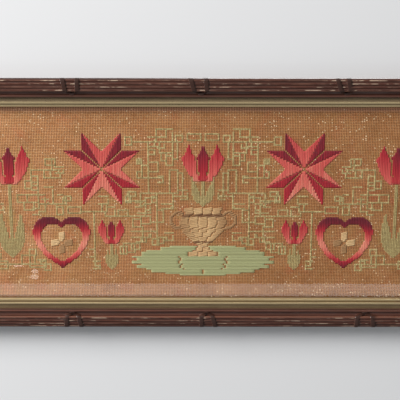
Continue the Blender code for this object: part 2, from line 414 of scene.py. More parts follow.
def make_piece(name, points, faces, attributes, material, smooth_angle=None):
    """A mesh object in the scene, with its stored values, its finish and soft shading."""
    mesh = bpy.data.meshes.new(name)
    mesh.from_pydata(points, [], faces)
    for key_name, values in attributes.items():
        values = np.asarray(values, np.float32)
        kind, slot_name = ("FLOAT", "value") if values.ndim == 1 else ("FLOAT_VECTOR", "vector")
        layer = mesh.attributes.new(key_name, kind, "POINT")
        layer.data.foreach_set(slot_name, values.ravel())
    work = bmesh.new()
    work.from_mesh(mesh)
    bmesh.ops.recalc_face_normals(work, faces=work.faces)
    work.to_mesh(mesh)
    work.free()
    mesh.shade_smooth()
    if smooth_angle is not None:
        mesh.set_sharp_from_angle(angle=math.radians(smooth_angle))
    mesh.materials.append(material)
    piece = bpy.data.objects.new(name, mesh)
    bpy.context.scene.collection.objects.link(piece)
    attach(piece, "root")
    return piece


def ring_piece(name, rings, attributes, material, smooth_angle=SMOOTH_ANGLE):
    """A capped mesh of rings, given as (run, around, xyz)."""
    runs, around = rings.shape[:2]
    faces = ring_faces(runs, around).tolist()
    faces.append(list(range(around)))
    faces.append(list(range((runs - 1) * around, runs * around)))
    flat = {k: v.reshape(runs * around, *v.shape[2:]) for k, v in attributes.items()}
    return make_piece(name, rings.reshape(-1, 3), faces, flat, material, smooth_angle)


print("a tube of 5 rings of 6 points has", len(ring_faces(5, 6)), "sides and 2 caps")


# %% [markdown]
# ## Sections of the mouldings
# A moulding is planed to one section along its whole length. "Inward" is the distance from the
# frame's outer edge and "height" the distance from the wall. The outer sizes, the sight and the
# seats are those of the imported pieces, and a few heights of the face were refined. Each
# point also says how proud it stands, because hands and dusters wear the crests first, and
# whether it shows or is bare wood at the back.

# %% Draw the wood rail's section
SEAT_GAP = 0.3 * MM
REED_COUNT = 4
REED_PITCH = 3.2 * MM
REED_RELIEF = 1.1 * MM
REED_FOOT = 18.0 * MM
SHOULDER_DROP = 1.7 * MM
COVE_WIDTH = 3.4 * MM
COVE_DEPTH = 0.3 * MM
COVE_FOOT = 15.2 * MM
BEAD_WIDTH = 3.4 * MM
BEAD_RELIEF = 1.8 * MM
BEAD_FOOT = 14.7 * MM
SIDE_FOOT = 12.5 * MM
BACK_INSET = 3.8 * MM
REBATE_START = 14.0 * MM
LIP_UNDERSIDE = 11.5 * MM
REEDS_WIDTH = REED_COUNT * REED_PITCH
RAIL_FACE = REEDS_WIDTH + COVE_WIDTH + BEAD_WIDTH
REED_CREST = REED_FOOT + REED_RELIEF
COVE_START = REEDS_WIDTH
BEAD_START = COVE_START + COVE_WIDTH
COVE_PROUD = 0.6
STEP_PROUD = 0.5
FLAT_PROUD = 0.4
BEAD_CREST = 0.65


def section_rows(start, end, share, relief, proud):
    """Rows of (inward, height, proud, shows) on the way from start to end."""
    inward = start[0] + (end[0] - start[0]) * share
    height = start[1] + (end[1] - start[1]) * share + relief
    return np.column_stack([inward, height, proud, np.ones(len(share))])


def curve_run(start, end, relief, steps=10, crest=1.0):
    """The rows over a bead, or through a cove where the relief is below zero."""
    turn = np.linspace(0.0, np.pi, steps + 1)
    proud = crest * np.sin(turn) if relief > 0 else 0 * turn + COVE_PROUD
    return section_rows(start, end, (1 - np.cos(turn)) / 2, relief * np.sin(turn), proud)


def straight_run(start, end, steps, proud=FLAT_PROUD):
    share = np.linspace(0.0, 1.0, steps + 1)
    return section_rows(start, end, share, 0.0, 0 * share + proud)


def hidden_corners(corners, proud):
    """Rows for the corners at the back of a section, which never show."""
    return [np.array([[*corner, proud, 0.0]]) for corner in corners]


def reed_foot(inward):
    """Height of the valleys between the reeds: level inside, lower at the outer shoulder."""
    return REED_FOOT - SHOULDER_DROP * (1 - inward / REEDS_WIDTH) ** 3


def rail_section():
    outer_foot = (SEAT_GAP, SIDE_FOOT)
    parts = [straight_run((BACK_INSET, 0.0), outer_foot, 4)[:-1],
             straight_run(outer_foot, (0.0, reed_foot(0.0)), 8)[:-1]]
    for reed in range(REED_COUNT):
        start, end = reed * REED_PITCH, (reed + 1) * REED_PITCH
        parts.append(curve_run((start, reed_foot(start)), (end, reed_foot(end)), REED_RELIEF)[:-1])
    cove_foot, bead_foot = (COVE_START, COVE_FOOT), (BEAD_START, BEAD_FOOT)
    parts.append(straight_run((COVE_START, REED_FOOT), cove_foot, 3, STEP_PROUD)[:-1])
    parts.append(curve_run(cove_foot, bead_foot, -COVE_DEPTH)[:-1])
    parts.append(curve_run(bead_foot, (RAIL_FACE, BEAD_FOOT), BEAD_RELIEF, 12, BEAD_CREST))
    parts += hidden_corners([(RAIL_FACE, LIP_UNDERSIDE), (REBATE_START, LIP_UNDERSIDE),
                             (REBATE_START, 0.0)], FLAT_PROUD)
    return np.concatenate(parts)


print("rail section", len(rail_section()), "points")

# %% Draw the gilt slip's section
SLOPE_WIDTH = 4.2 * MM
SLOPE_FOOT = 12.2 * MM
SLOPE_TOP = 13.1 * MM
HIGH_BEAD_WIDTH = 2.7 * MM
HIGH_BEAD_RELIEF = 1.0 * MM
GROOVE_WIDTH = 0.4 * MM
GROOVE_FOOT = 11.7 * MM
LIP_WIDTH = 3.7 * MM
LIP_FOOT = 12.0 * MM
LIP_RISE = 0.6 * MM
LIP_ROUND = 1.8 * MM
SIGHT_LEDGE = 0.4 * MM
SIGHT_EDGE = 9.3 * MM
SLIP_UNDERSIDE = 8.8 * MM
SLIP_BACK = 1.4 * MM
LIP_PROUD = 0.66
SLOPE_PROUD = 0.35
HIDDEN_PROUD = 0.3
DROP_PROUD = 0.1
SLIP_START = RAIL_FACE + SEAT_GAP
SIGHT_INWARD = SLIP_START + SLOPE_WIDTH + HIGH_BEAD_WIDTH + GROOVE_WIDTH + LIP_WIDTH


def sight_lip(start):
    """A tilted lip, rounded over and dropped to a narrow dark ledge beside the glass."""
    lip_end = SIGHT_INWARD - SIGHT_LEDGE
    round_start = lip_end - LIP_ROUND
    high = LIP_FOOT + LIP_RISE
    flat = straight_run((start, LIP_FOOT), (round_start, high), 4, LIP_PROUD)[:-1]
    turn = np.linspace(0.0, np.pi / 2, 7)
    # painted highlight: the gilt is brightest at the middle of the rounding
    edge = np.column_stack([round_start + LIP_ROUND * np.sin(turn),
                            high - LIP_ROUND * (1 - np.cos(turn)),
                            LIP_PROUD + (1 - LIP_PROUD) * np.sin(2 * turn), 0 * turn + 1])
    drop = straight_run((lip_end, high - LIP_ROUND), (lip_end, SIGHT_EDGE), 3, DROP_PROUD)
    ledge = straight_run((lip_end, SIGHT_EDGE), (SIGHT_INWARD, SIGHT_EDGE), 1, 0.0)
    return [flat, edge, drop[1:], ledge[1:]]


def slip_section():
    flange = REBATE_START + SEAT_GAP
    slope_end = SLIP_START + SLOPE_WIDTH
    groove_start = slope_end + HIGH_BEAD_WIDTH
    groove_end = groove_start + GROOVE_WIDTH
    rebate = sheet_low.x - sight_left + SIGHT_INWARD - SEAT_GAP
    parts = hidden_corners([(flange, SLIP_BACK), (flange, LIP_UNDERSIDE - SEAT_GAP),
                            (SLIP_START, LIP_UNDERSIDE - SEAT_GAP)], HIDDEN_PROUD)
    slope = straight_run((SLIP_START, SLOPE_FOOT), (slope_end, SLOPE_TOP), 6, SLOPE_PROUD)
    parts.append(slope[:-1])
    parts.append(curve_run((slope_end, SLOPE_TOP), (groove_start, SLOPE_TOP), HIGH_BEAD_RELIEF))
    groove = straight_run((groove_start, GROOVE_FOOT), (groove_end, GROOVE_FOOT), 1, 0.0)
    parts.append(groove[:1])
    parts += sight_lip(groove_end)
    parts += hidden_corners([(SIGHT_INWARD, SLIP_UNDERSIDE), (rebate, SLIP_UNDERSIDE),
                             (rebate, SLIP_BACK)], HIDDEN_PROUD)
    return np.concatenate(parts)


print("slip section", len(slip_section()), "points")

# %% [markdown]
# ## Lay the sections round the frame
# Each side is the same section carried along its own length and cut at 45 degrees. The cut
# falls out by itself when every point stops short by its own distance from the outer edge. The
# four sides are the bottom one turned about the frame's middle.

# %% Carry a section along a side
HALF_WIDTH = sight_right + SIGHT_INWARD
HALF_HEIGHT = (sight_top - sight_bottom) / 2 + SIGHT_INWARD
# columns: turn, reach, half length, direction of the world's own axis along the side
SIDES = {
    "bottom": (0.0, HALF_HEIGHT, HALF_WIDTH, 1),
    "right": (-90.0, HALF_WIDTH, HALF_HEIGHT, 1),
    "top": (180.0, HALF_HEIGHT, HALF_WIDTH, -1),
    "left": (90.0, HALF_WIDTH, HALF_HEIGHT, -1),
}


def section_grid(side, shares, section):
    """Along, inward, height, proud and shows at each (share, point), with mitred ends."""
    half = SIDES[side][2] - section[None, :, 0] - SEAT_GAP / math.sqrt(2)
    along = shares[:, None] * half
    return along, *(np.broadcast_to(column, along.shape) for column in section.T)


def to_frame(side, along, inward, height):
    """Points of the frame from distances along a side, inward and off the wall."""
    turn, reach = SIDES[side][:2]
    cosine, sine = math.cos(math.radians(turn)), math.sin(math.radians(turn))
    outward = inward - reach
    x = cosine * along + sine * outward
    z = -sine * along + cosine * outward + CENTRE_Z
    return np.stack([x, -height, z], axis=-1)


def drift(along, wavelengths, size, random):
    """A slow wander along a run, for wood that has moved and edges planed by hand."""
    total = np.zeros_like(along)
    for wavelength in wavelengths:
        phase = random.uniform(0, 2 * np.pi)
        total = total + np.sin(along * 2 * np.pi / wavelength + phase) / len(wavelengths)
    return total * size


print("frame", round(2 * HALF_WIDTH, 4), "by", round(2 * HALF_HEIGHT, 4))

# %% [markdown]
# ## Carved ribbon ties
# The reeds are bound by crossed ribbons, which the carver left standing when the reeds were
# cut. Two bands run over the reeds and meet in the cove. They could be separate strips, but on
# the real rail they are the same wood, so the rail's own skin is raised inside the bands'
# outline, with many short rings there and few elsewhere.

# %% Raise the ribbons on a rail
RIBBON_WIDTH = 4.9 * MM
RIBBON_OVERHANG = 0.2 * MM
RIBBON_RISE = 0.5 * MM
RIBBON_ROOT = 12.0 * MM
RIBBON_DRAW_IN = 1.2 * MM
RIBBON_CROWN = 0.15 * MM
RIBBON_EDGE = 0.5 * MM
RIBBON_STOP = 0.5 * MM
OUTER_SIDE = 0.4 * MM
APEX_OUTER = 17.8 * MM
APEX_INNER = 14.2 * MM
# columns: side, along, spread, lean
CARVED_TIES = (
    ("top", -132.0 * MM, 14.4 * MM, 0.10),
    ("top", -4.6 * MM, 15.0 * MM, 0.18),
    ("top", 138.4 * MM, 11.2 * MM, 0.25),
    ("bottom", -135.6 * MM, 15.6 * MM, -0.08),
    ("bottom", 5.8 * MM, 14.4 * MM, -0.12),
    ("bottom", 170.0 * MM, 18.2 * MM, 0.0),
    ("left", 0.0, 15.0 * MM, 0.0),
    ("right", 0.0, 15.0 * MM, 0.0),
)


def ease(value):
    value = np.clip(value, 0.0, 1.0)
    return value * value * (3 - 2 * value)


def band_mask(along, inward, spread_width):
    """1 inside the two bands of a tie, falling to 0 at their edges, and 1 on their middles."""
    half = RIBBON_WIDTH / 2
    bend = REEDS_WIDTH - RIBBON_OVERHANG
    foot = spread_width / 2
    waist = foot - RIBBON_DRAW_IN
    centre = foot + (waist - foot) * np.clip(inward / bend, 0.0, 1.0)
    past = np.clip(inward - bend, 0.0, None)
    outer = np.where(past > 0, (waist + half) * (1 - past / (APEX_OUTER - bend)), centre + half)
    inner = np.where(past > 0, (waist - half) * (1 - past / (APEX_INNER - bend)), centre - half)
    depth = np.minimum(np.abs(along) - inner, outer - np.abs(along))
    return ease(depth / RIBBON_EDGE), np.clip(depth / half, 0.0, 1.0)


def ribbon_skin(inward):
    """Height of a ribbon's skin above the wall, over the reeds, the cove and the bead."""
    crest = REED_CREST + RIBBON_RISE
    # columns: inward, height
    line = np.array([
        (-RIBBON_OVERHANG, reed_foot(0.0) + RIBBON_RISE),
        (REED_PITCH / 4, crest - SHOULDER_DROP / 2),
        (REED_PITCH, crest - SHOULDER_DROP / 6),
        (2 * REED_PITCH, crest),
        (REEDS_WIDTH - REED_PITCH / 3, crest),
        (REEDS_WIDTH + RIBBON_RISE, crest - REED_RELIEF),
        (REEDS_WIDTH + COVE_WIDTH / 2, COVE_FOOT + RIBBON_RISE),
        (RAIL_FACE - BEAD_WIDTH / 2, BEAD_FOOT + BEAD_RELIEF + RIBBON_RISE / 2),
        (RAIL_FACE - RIBBON_RISE, BEAD_FOOT + RIBBON_RISE),
    ])
    return np.interp(inward, line[:, 0], line[:, 1])


def raise_tie(tie, along, inward, height, ribbon):
    """Lift the rail's skin inside one tie's outline, and mark it as ribbon."""
    side, place, spread_width, lean = tie
    local = along - SIDES[side][3] * (place + lean * inward)
    mask, middle_share = band_mask(local, inward, spread_width)
    mask = mask * ((height > RIBBON_ROOT) & (inward < RAIL_FACE - RIBBON_STOP))
    skin = ribbon_skin(inward) + RIBBON_CROWN * np.sqrt(middle_share)
    on_side = inward < OUTER_SIDE
    rise = np.where(on_side, 0.0, np.clip(skin - height, 0.0, None))
    push = np.where(on_side, RIBBON_OVERHANG * ease((height - RIBBON_ROOT) / MM), 0.0)
    return inward - push * mask, height + rise * mask, np.maximum(ribbon, mask)


print("carved ties", len(CARVED_TIES), "ribbon", round(RIBBON_WIDTH / MM, 1), "mm wide")

# %% [markdown]
# ## The dark wood finish
# The rails are stained red-brown under an old varnish. Handling has worn the crests of the
# reeds paler, and broken pale glints are painted on them as highlights, while the valleys keep
# their dirt. The cove and the ledges beside it are painted lighter, as painted light. The grain
# runs along each rail, so the noise is read at the stored grain position, stretched along the
# run. The back was never stained, so it fades to bare aged wood there.

# %% Mix the dark wood
DARK_STAIN = (0.036, 0.013, 0.008)
RED_BROWN = (0.064, 0.020, 0.012)
DEEP_RED = (0.108, 0.033, 0.018)
WORN_WOOD = (0.310, 0.150, 0.095)
PAINTED_GLINT = (0.760, 0.580, 0.420)
COVE_PAINTED_LIGHT = (0.120, 0.050, 0.034)
LEDGE_PAINTED_LIGHT = (0.260, 0.100, 0.055)
RIBBON_DARK = (0.026, 0.011, 0.008)
RIBBON_BROWN = (0.050, 0.021, 0.014)
SHADED_BARE_WOOD = (0.130, 0.075, 0.045)
BARE_WOOD = (0.220, 0.135, 0.080)
WOOD_RELIEF = 0.12 * MM


def painted_cove_and_ledges(grain):
    """Masks of the cove and the two ledges beside it, painted lighter as light; the ledges get
    more varnish.
    """
    inward = part_of(grain, 1)
    painted_cove_light = (spread(inward, COVE_START, COVE_START + 0.6 * MM)
               * spread(inward, BEAD_START - 0.3 * MM, BEAD_START + 0.3 * MM, 1.0, 0.0))
    off_wall = part_of(grain, 2)
    last_reed = (spread(inward, COVE_START - 1.3 * MM, COVE_START - 0.5 * MM)
                 * spread(off_wall, REED_FOOT - 0.6 * MM, REED_FOOT - 0.2 * MM))
    bead = (spread(inward, RAIL_FACE - 2.3 * MM, RAIL_FACE - 1.8 * MM)
            * spread(inward, RAIL_FACE - 1.1 * MM, RAIL_FACE - 0.5 * MM, 0.5, 0.0))
    return painted_cove_light, last_reed + bead


def make_wood():
    material, start = new_finish("stained_reeded_wood")
    grain = attribute(start, "grain", 1)
    proud, shows, ribbon = (attribute(start, name) for name in ("proud", "shows", "ribbon"))
    figure = streaked(grain, 18, 420, 5.0, 0.6)
    fibres = streaked(grain, 90, 3200, 3.0, 0.6)
    patches = streaked(grain, 14, 60, 2.0)
    stained = ramp(figure * 0.65 + fibres * 0.35,
                   [(0.36, DARK_STAIN), (0.52, RED_BROWN), (0.72, DEEP_RED)])
    dirt = spread(proud + patches * 0.5 - 0.25, 0.05, 0.62)
    stained = mix(dirt, DARK_STAIN, stained)
    painted_cove_light, ledges_painted_and_varnished = painted_cove_and_ledges(grain)
    # painted light: the cove is painted lighter, standing in for light that the reeds' shadow
    # keeps from it
    stained = mix(painted_cove_light * 0.4, stained, COVE_PAINTED_LIGHT)
    # painted light: the ledges are painted lighter and redder, as flanks that catch the light
    stained = mix(ledges_painted_and_varnished * 0.40, stained, LEDGE_PAINTED_LIGHT)
    crest = spread(proud, 0.93, 1.0)
    rubbed = spread(streaked(grain, 60, 310, 4.0, 0.65), 0.46, 0.60)
    stained = mix(rubbed * crest * 0.34, stained, WORN_WOOD)
    # painted highlight: pale glint dashes on the crests, laid over the real rubbed wear
    painted_glint_dashes = spread(streaked(grain, 110, 310), 0.50, 0.62)
    runs = spread(streaked(grain, 24, 160, 2.0), 0.44, 0.60)
    stained = mix(painted_glint_dashes * runs * crest * 0.55, stained, PAINTED_GLINT)
    tied = ramp(fibres, [(0.3, RIBBON_DARK), (0.7, RIBBON_BROWN)])
    stained = mix(ribbon, stained, tied)
    bare = ramp(figure, [(0.3, SHADED_BARE_WOOD), (0.7, BARE_WOOD)])
    return close_surface(material, start, {
        "Base Color": mix(shows, bare, stained),
        "Roughness": 0.62 - 0.34 * shows + fibres * 0.12,
        "Specular IOR Level": 0.35,
        "Coat Weight": shows * (1 - ribbon) * (0.10 + rubbed * 0.35 + ledges_painted_and_varnished * 0.45),
        "Coat Roughness": 0.22,
        "Normal": bump(fibres * 0.6 + figure * 0.4, WOOD_RELIEF, 0.6)})


dark_wood = make_wood()

# %% Plane and carve the four rails
RING_STEP = 4.0 * MM
TIE_RING_STEP = 0.4 * MM
TIE_MARGIN = 6.0 * MM
RAIL_WAVES = (0.047, 0.019, 0.11)
RAIL_WANDER = 0.10 * MM
FIRST_RAIL_SEED = 11
DENTS_PER_METRE = 60
# smallest and largest, in millimetres
DENT_SIZES = (0.8, 2.4)
DENT_DEPTHS = (0.08, 0.28)


def ring_shares(side, ties):
    """Where the rings stand along a side: far apart, and close together under each tie."""
    half = SIDES[side][2]
    places = np.arange(-half, half, RING_STEP)
    for _side, along, spread_width, _lean in ties:
        middle_along = SIDES[side][3] * along
        reach = spread_width / 2 + TIE_MARGIN
        close = np.arange(middle_along - reach, middle_along + reach, TIE_RING_STEP)
        places = places[np.abs(places - middle_along) > reach]
        places = np.concatenate([places, close])
    places = np.sort(places[(places > -half + MM) & (places < half - MM)])
    return np.concatenate([[-1.0], places / half, [1.0]])


def press_dents(along, inward, height, proud, random, half):
    """Small knocks in the crests, as an old frame has."""
    for _ in range(int(DENTS_PER_METRE * 2 * half)):
        place, across = random.uniform(-half, half), random.uniform(0, RAIL_FACE)
        size, depth = random.uniform(*DENT_SIZES) * MM, random.uniform(*DENT_DEPTHS) * MM
        away_from = ((along - place) / size) ** 2 + ((inward - across) / (0.6 * size)) ** 2
        height = height - depth * np.exp(-away_from) * np.clip(proud, 0, 1)
    return height


def make_rail(side, seed):
    random = np.random.default_rng(seed)
    ties = [tie for tie in CARVED_TIES if tie[0] == side]
    shares = ring_shares(side, ties)
    along, inward, height, proud, shows = section_grid(side, shares, rail_section())
    on_face = shows * (height > RIBBON_ROOT)
    height = height + on_face * drift(along + 20 * inward, RAIL_WAVES, RAIL_WANDER, random)
    height = press_dents(along, inward, height, proud * on_face, random, SIDES[side][2])
    ribbon = np.zeros_like(along)
    grain = np.stack([along, inward, height], axis=-1)
    for tie in ties:
        inward, height, ribbon = raise_tie(tie, along, inward, height, ribbon)
    stored = {"grain": grain, "proud": proud, "shows": shows, "ribbon": ribbon}
    piece = ring_piece(f"wood_rail_{side}", to_frame(side, along, inward, height), stored,
                       dark_wood)
    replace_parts(piece, f"rail_{side}")
    return piece


for rail_seed, side_name in enumerate(SIDES, FIRST_RAIL_SEED):
    rail = make_rail(side_name, rail_seed)
    print(rail.name, len(rail.data.polygons), "faces")

# %% [markdown]
# ## The gilt slip
# A narrow gilded moulding lies inside the rails. Its beads are rubbed bright, its groove and
# its sloping outer side have gone dull and brown. Gilding on wood is a film of metal over
# coloured clay, so the finish is half metal, and the clay shows where the film is thin.

# %% Mix the gilding
BRIGHT_GILT = (0.620, 0.480, 0.268)
DULL_GILT = (0.165, 0.113, 0.055)
CLAY = (0.080, 0.042, 0.022)
GILT_RELIEF = 0.06 * MM


def make_gilding():
    material, start = new_finish("old_gilding")
    grain = attribute(start, "grain", 1)
    proud, shows = (attribute(start, name) for name in ("proud", "shows"))
    streaks = streaked(grain, 40, 1400, 4.0, 0.6)
    patches = streaked(grain, 22, 90)
    specks = streaked(grain, 700, 1100, 3.0, 0.7)
    bright = spread(proud + (streaks - 0.5) * 0.5 + (patches - 0.5) * 0.4, 0.30, 0.75)
    colour = mix(bright, DULL_GILT, BRIGHT_GILT)
    worn = spread(specks + (1 - proud) * 0.10, 0.62, 0.74)
    colour = mix(worn * 0.8, colour, CLAY)
    return close_surface(material, start, {
        "Base Color": mix(shows, BARE_WOOD, colour),
        "Metallic": bright * shows * 0.85,
        "Roughness": 0.52 - bright * 0.24 + worn * 0.15,
        "Normal": bump(specks * 0.6 + streaks * 0.4, GILT_RELIEF, 0.4)})


gilding = make_gilding()

# %% Lay the four slips
SLIP_RING_STEP = 5.0 * MM
SLIP_WAVES = (0.06, 0.023, 0.14)
SLIP_WANDER = 0.08 * MM
FIRST_SLIP_SEED = 31


def make_slip(side, seed):
    random = np.random.default_rng(seed)
    shares = np.linspace(-1.0, 1.0, int(2 * SIDES[side][2] / SLIP_RING_STEP))
    along, inward, height, proud, shows = section_grid(side, shares, slip_section())
    on_face = shows * (inward < SIGHT_INWARD - MM)
    height = height + on_face * drift(along, SLIP_WAVES, SLIP_WANDER, random)
    stored = {"grain": np.stack([along, inward, height], axis=-1), "proud": proud, "shows": shows}
    piece = ring_piece(f"gilt_slip_{side}", to_frame(side, along, inward, height), stored, gilding)
    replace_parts(piece, f"slip_{side}")
    return piece


for slip_seed, side_name in enumerate(SIDES, FIRST_SLIP_SEED):
    slip = make_slip(side_name, slip_seed)
    print(slip.name, len(slip.data.polygons), "faces")

# %% [markdown]
# ## Glass and backing board
# The pane is flat glass with polished faces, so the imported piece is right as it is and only
# needs its finish: it lets nearly all light through and mirrors a little, more at a slant. The
# board behind is a thin plank that nobody was meant to see: bare, grey with dust, grain along.

# %% Polish the glass
GLASS_TINT = (0.99, 0.995, 0.99, 1.0)
MIRROR_WHITE = (1.0, 1.0, 1.0, 1.0)
GLASS_INDEX = 1.5


def make_glass():
    material, start = new_finish("clear_pane")
    clear = start.node("ShaderNodeBsdfTransparent", None, {"Color": GLASS_TINT})
    mirror = start.node("ShaderNodeBsdfGlossy", None, {"Color": MIRROR_WHITE, "Roughness": 0.0})
    behind = from_behind(start)
    gloss = start.node("ShaderNodeFresnel", None, {"IOR": GLASS_INDEX}) * (1 - behind)
    shader = start.node("ShaderNodeMixShader", None, {0: gloss, 1: clear, 2: mirror})
    return close_finish(material, shader)


def dress(node_name, material):
    """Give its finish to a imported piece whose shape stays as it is."""
    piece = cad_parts[node_name]
    piece.data.materials.clear()
    piece.data.materials.append(material)


dress("glass_pane", make_glass())

# %% Age the backing board
BOARD_DARK = (0.170, 0.105, 0.060)
BOARD_BROWN = (0.300, 0.200, 0.120)
BOARD_PALE = (0.380, 0.270, 0.170)
BOARD_STAIN = (0.150, 0.100, 0.065)
BOARD_RELIEF = 0.25 * MM


def make_board():
    material, start = new_finish("bare_board")
    place = object_place(start)
    figure = noise(stretch(place, 6, 300, 90), 1.0, 5.0, 0.6)
    fibres = streaked(place, 60, 2500, 3.0, 0.6)
    stains = spread(noise(place, 14.0, 4.0, 0.6), 0.52, 0.72)
    colour = ramp(figure * 0.6 + fibres * 0.4,
                  [(0.3, BOARD_DARK), (0.5, BOARD_BROWN), (0.7, BOARD_PALE)])
    return close_surface(material, start, {
        "Base Color": mix(stains * 0.4, colour, BOARD_STAIN),
        "Roughness": 0.78 + fibres * 0.15,
        "Normal": bump(fibres * 0.6 + figure * 0.4, BOARD_RELIEF, 0.7)})


dress("backing_board", make_board())

# %% [markdown]
# ## The punched paper
# The ground is stiff paper pressed full of round holes, a square grid that the needle follows.
# With forty thousand holes each one is drawn by the finish: the distance to the nearest crossing
# of the grid gives a dark round with a pressed rim, painted shade for the board seen through
# the hole. The paper is toned brown, with painted shade darker to the right, rusty and sandy
# blotches and pale specks. Under the top slip a paler band is painted, as painted light that
# eases the slip's shadow there.

# %% Mix the paper
HOLE_RADIUS = 0.27
HOLE_EDGE = 0.12
PAPER_DEEP = (0.455, 0.186, 0.066)
PAPER_BROWN = (0.665, 0.294, 0.116)
PAPER_SANDY = (0.805, 0.405, 0.185)
PAPER_RUST = (0.700, 0.190, 0.086)
PAPER_OLIVE = (0.600, 0.345, 0.120)
PAPER_PAINTED_SHADE = (0.480, 0.380, 0.220)
PAPER_PAINTED_LIGHT = (1.000, 0.500, 0.320)
HOLE_DARK = (0.080, 0.028, 0.010)
PAPER_SPECK = (1.000, 0.780, 0.500)
PAPER_RELIEF = 0.22 * MM
CELLS_PER_METRE = 430.0
SPECK_EDGE = (0.16, 0.31)
PAINTED_SHADE_FROM, PAINTED_SHADE_TO = -0.26, 0.12
PAINTED_LIGHT_FROM, PAINTED_LIGHT_TO = sight_top - 7.0 * MM, sight_top - 3.5 * MM
EDGE_DARK_FROM, EDGE_DARK_TO = sight_bottom - 0.2 * MM, sight_bottom + 1.2 * MM


def off_line(place, first_line):
    """Distance to the nearest line of the grid, in pitches. The holes lie where lines cross."""
    return abs(place.sum("FRACT", (place - first_line) / PITCH + 0.5) - 0.5)


def punched_holes(place):
    """A mask of the holes, from the distance to the nearest crossing of the grid."""
    sideways, upward = off_line(part_of(place, 0), 0.0), off_line(part_of(place, 2), CENTRE_Z)
    crossing = (sideways * sideways + upward * upward) ** 0.5
    return spread(crossing, HOLE_RADIUS, HOLE_RADIUS + HOLE_EDGE, 1.0, 0.0)


# pale specks scattered over the paper
def pale_specks(place):
    """A mask of small round specks: one to a cell, in the few cells that a draw picks."""
    cells = {"Vector": stretch(place, 1, 0, 1), "Scale": CELLS_PER_METRE}
    from_middle = place.node("ShaderNodeTexVoronoi", None, cells)
    drawn = place.node("ShaderNodeSeparateColor", None,
                       {0: place.node("ShaderNodeTexVoronoi", None, cells, 1)})
    cluster = spread(noise(place, 52.0, 2.0), 0.50, 0.62)
    return (spread(from_middle, *SPECK_EDGE, 1.0, 0.0)
            * spread(drawn + cluster * 0.42, 0.95, 0.97))


def toned_paper(start, place, mottle):
    """The paper's colour before it is punched: toned, blotched, dyed, painted shade, painted
    light.
    """
    blotch = noise(place, 22.0, 4.0, 0.6)
    cloud = noise(stretch(place, 1, 1, 1.4), 75.0, 4.0, 0.6)
    colour = ramp(blotch * 0.35 + cloud * 0.35 + mottle * 0.30,
                  [(0.34, PAPER_DEEP), (0.50, PAPER_BROWN), (0.66, PAPER_SANDY)])
    rust = spread(noise(stretch(place, 1.3, 1, 1), 48.0, 3.0), 0.50, 0.72)
    dyed = spread(attribute(start, "dye"), 0.05, 0.35)
    colour = mix(rust * 0.30 + rust * dyed * 0.45, colour, PAPER_RUST)
    olive = spread(noise(stretch(place, 1, 1, 1.2), 64.0, 3.0), 0.50, 0.66)
    colour = mix(olive * (0.15 + dyed * 0.45), colour, PAPER_OLIVE)
    nap = spread(noise(place, 1100.0, 2.0), 0.50, 0.66)
    colour = mix(nap * 0.30, colour, PAPER_SPECK)
    # painted shade: the paper is darker towards the right, as light falls from the left
    painted_shade = spread(part_of(place, 0), PAINTED_SHADE_FROM, PAINTED_SHADE_TO)
    colour = mix(painted_shade * 0.45, colour, PAPER_PAINTED_SHADE, "MULTIPLY")
    # painted light: a paler band under the top slip lightens the slip's shadow on the sheet
    painted_light_band = spread(part_of(place, 2), PAINTED_LIGHT_FROM, PAINTED_LIGHT_TO)
    return mix(painted_light_band * 0.55, colour, PAPER_PAINTED_LIGHT)


def make_paper():
    material, start = new_finish("brown_punched_paper")
    place = object_place(start)
    mottle = noise(place, 420.0, 3.0, 0.7)
    holes = punched_holes(place)
    # the holes are dark with painted shade: the board behind shows through them, partly its own
    # brown, mostly shade
    colour = mix(holes * 0.9, toned_paper(start, place, mottle), HOLE_DARK)
    # a dark band along the sight's lower edge
    sight_edge_darkening = spread(part_of(place, 2), EDGE_DARK_FROM, EDGE_DARK_TO, 0.6, 0.0)
    colour = mix(sight_edge_darkening, colour, HOLE_DARK)
    return close_surface(material, start, {
        "Base Color": mix(pale_specks(place) * 0.9, colour, PAPER_SPECK),
        "Roughness": 0.82,
        "Specular IOR Level": 0.25,
        "Normal": bump((1 - holes) * 0.7 + mottle * 0.3, PAPER_RELIEF, 0.8)})


paper_finish = make_paper()

# %% Lay the sheet
PAPER_THICKNESS = 0.6 * MM
PAPER_SWELL = 0.12 * MM
SHEET_CELLS = (160, 64)


def swell(x, z):
    """How far the old sheet bows forward at a place. The stitches ride on it."""
    waves = np.sin(x * 38.0 + 1.3) * np.cos(z * 29.0) + np.sin(x * 83.0 + z * 61.0)
    return PAPER_SWELL * (0.5 + 0.25 * waves)


def make_sheet():
    columns = np.linspace(sheet_low.x, sheet_high.x, SHEET_CELLS[0] + 1)
    rows = np.linspace(sheet_low.z, sheet_high.z, SHEET_CELLS[1] + 1)
    x = np.repeat(columns[:, None], 2 * len(rows), axis=1)
    z = np.tile(np.concatenate([rows, rows[::-1]]), (len(columns), 1))
    front = np.concatenate([np.zeros(len(rows)), np.full(len(rows), PAPER_THICKNESS)])
    y = sheet_low.y - swell(x, z) + front[None, :]
    piece = ring_piece("punched_paper_sheet", np.stack([x, y, z], axis=-1), {}, paper_finish, 40)
    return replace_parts(piece, "sampler_sheet")


sheet = make_sheet()
print(sheet.name, len(sheet.data.polygons), "faces")

# %% [markdown]
# ## Chart the motifs
# A chart is squared paper with a thread for each square. The motifs are old sampler favourites:
# eight-pointed stars, hearts, tulips and a footed urn on a green mound, with an angular vine of
# small open squares between them. Both halves are alike, so only the right one is drawn, by
# formulas that say which squares lie inside an outline, and then it is turned over.

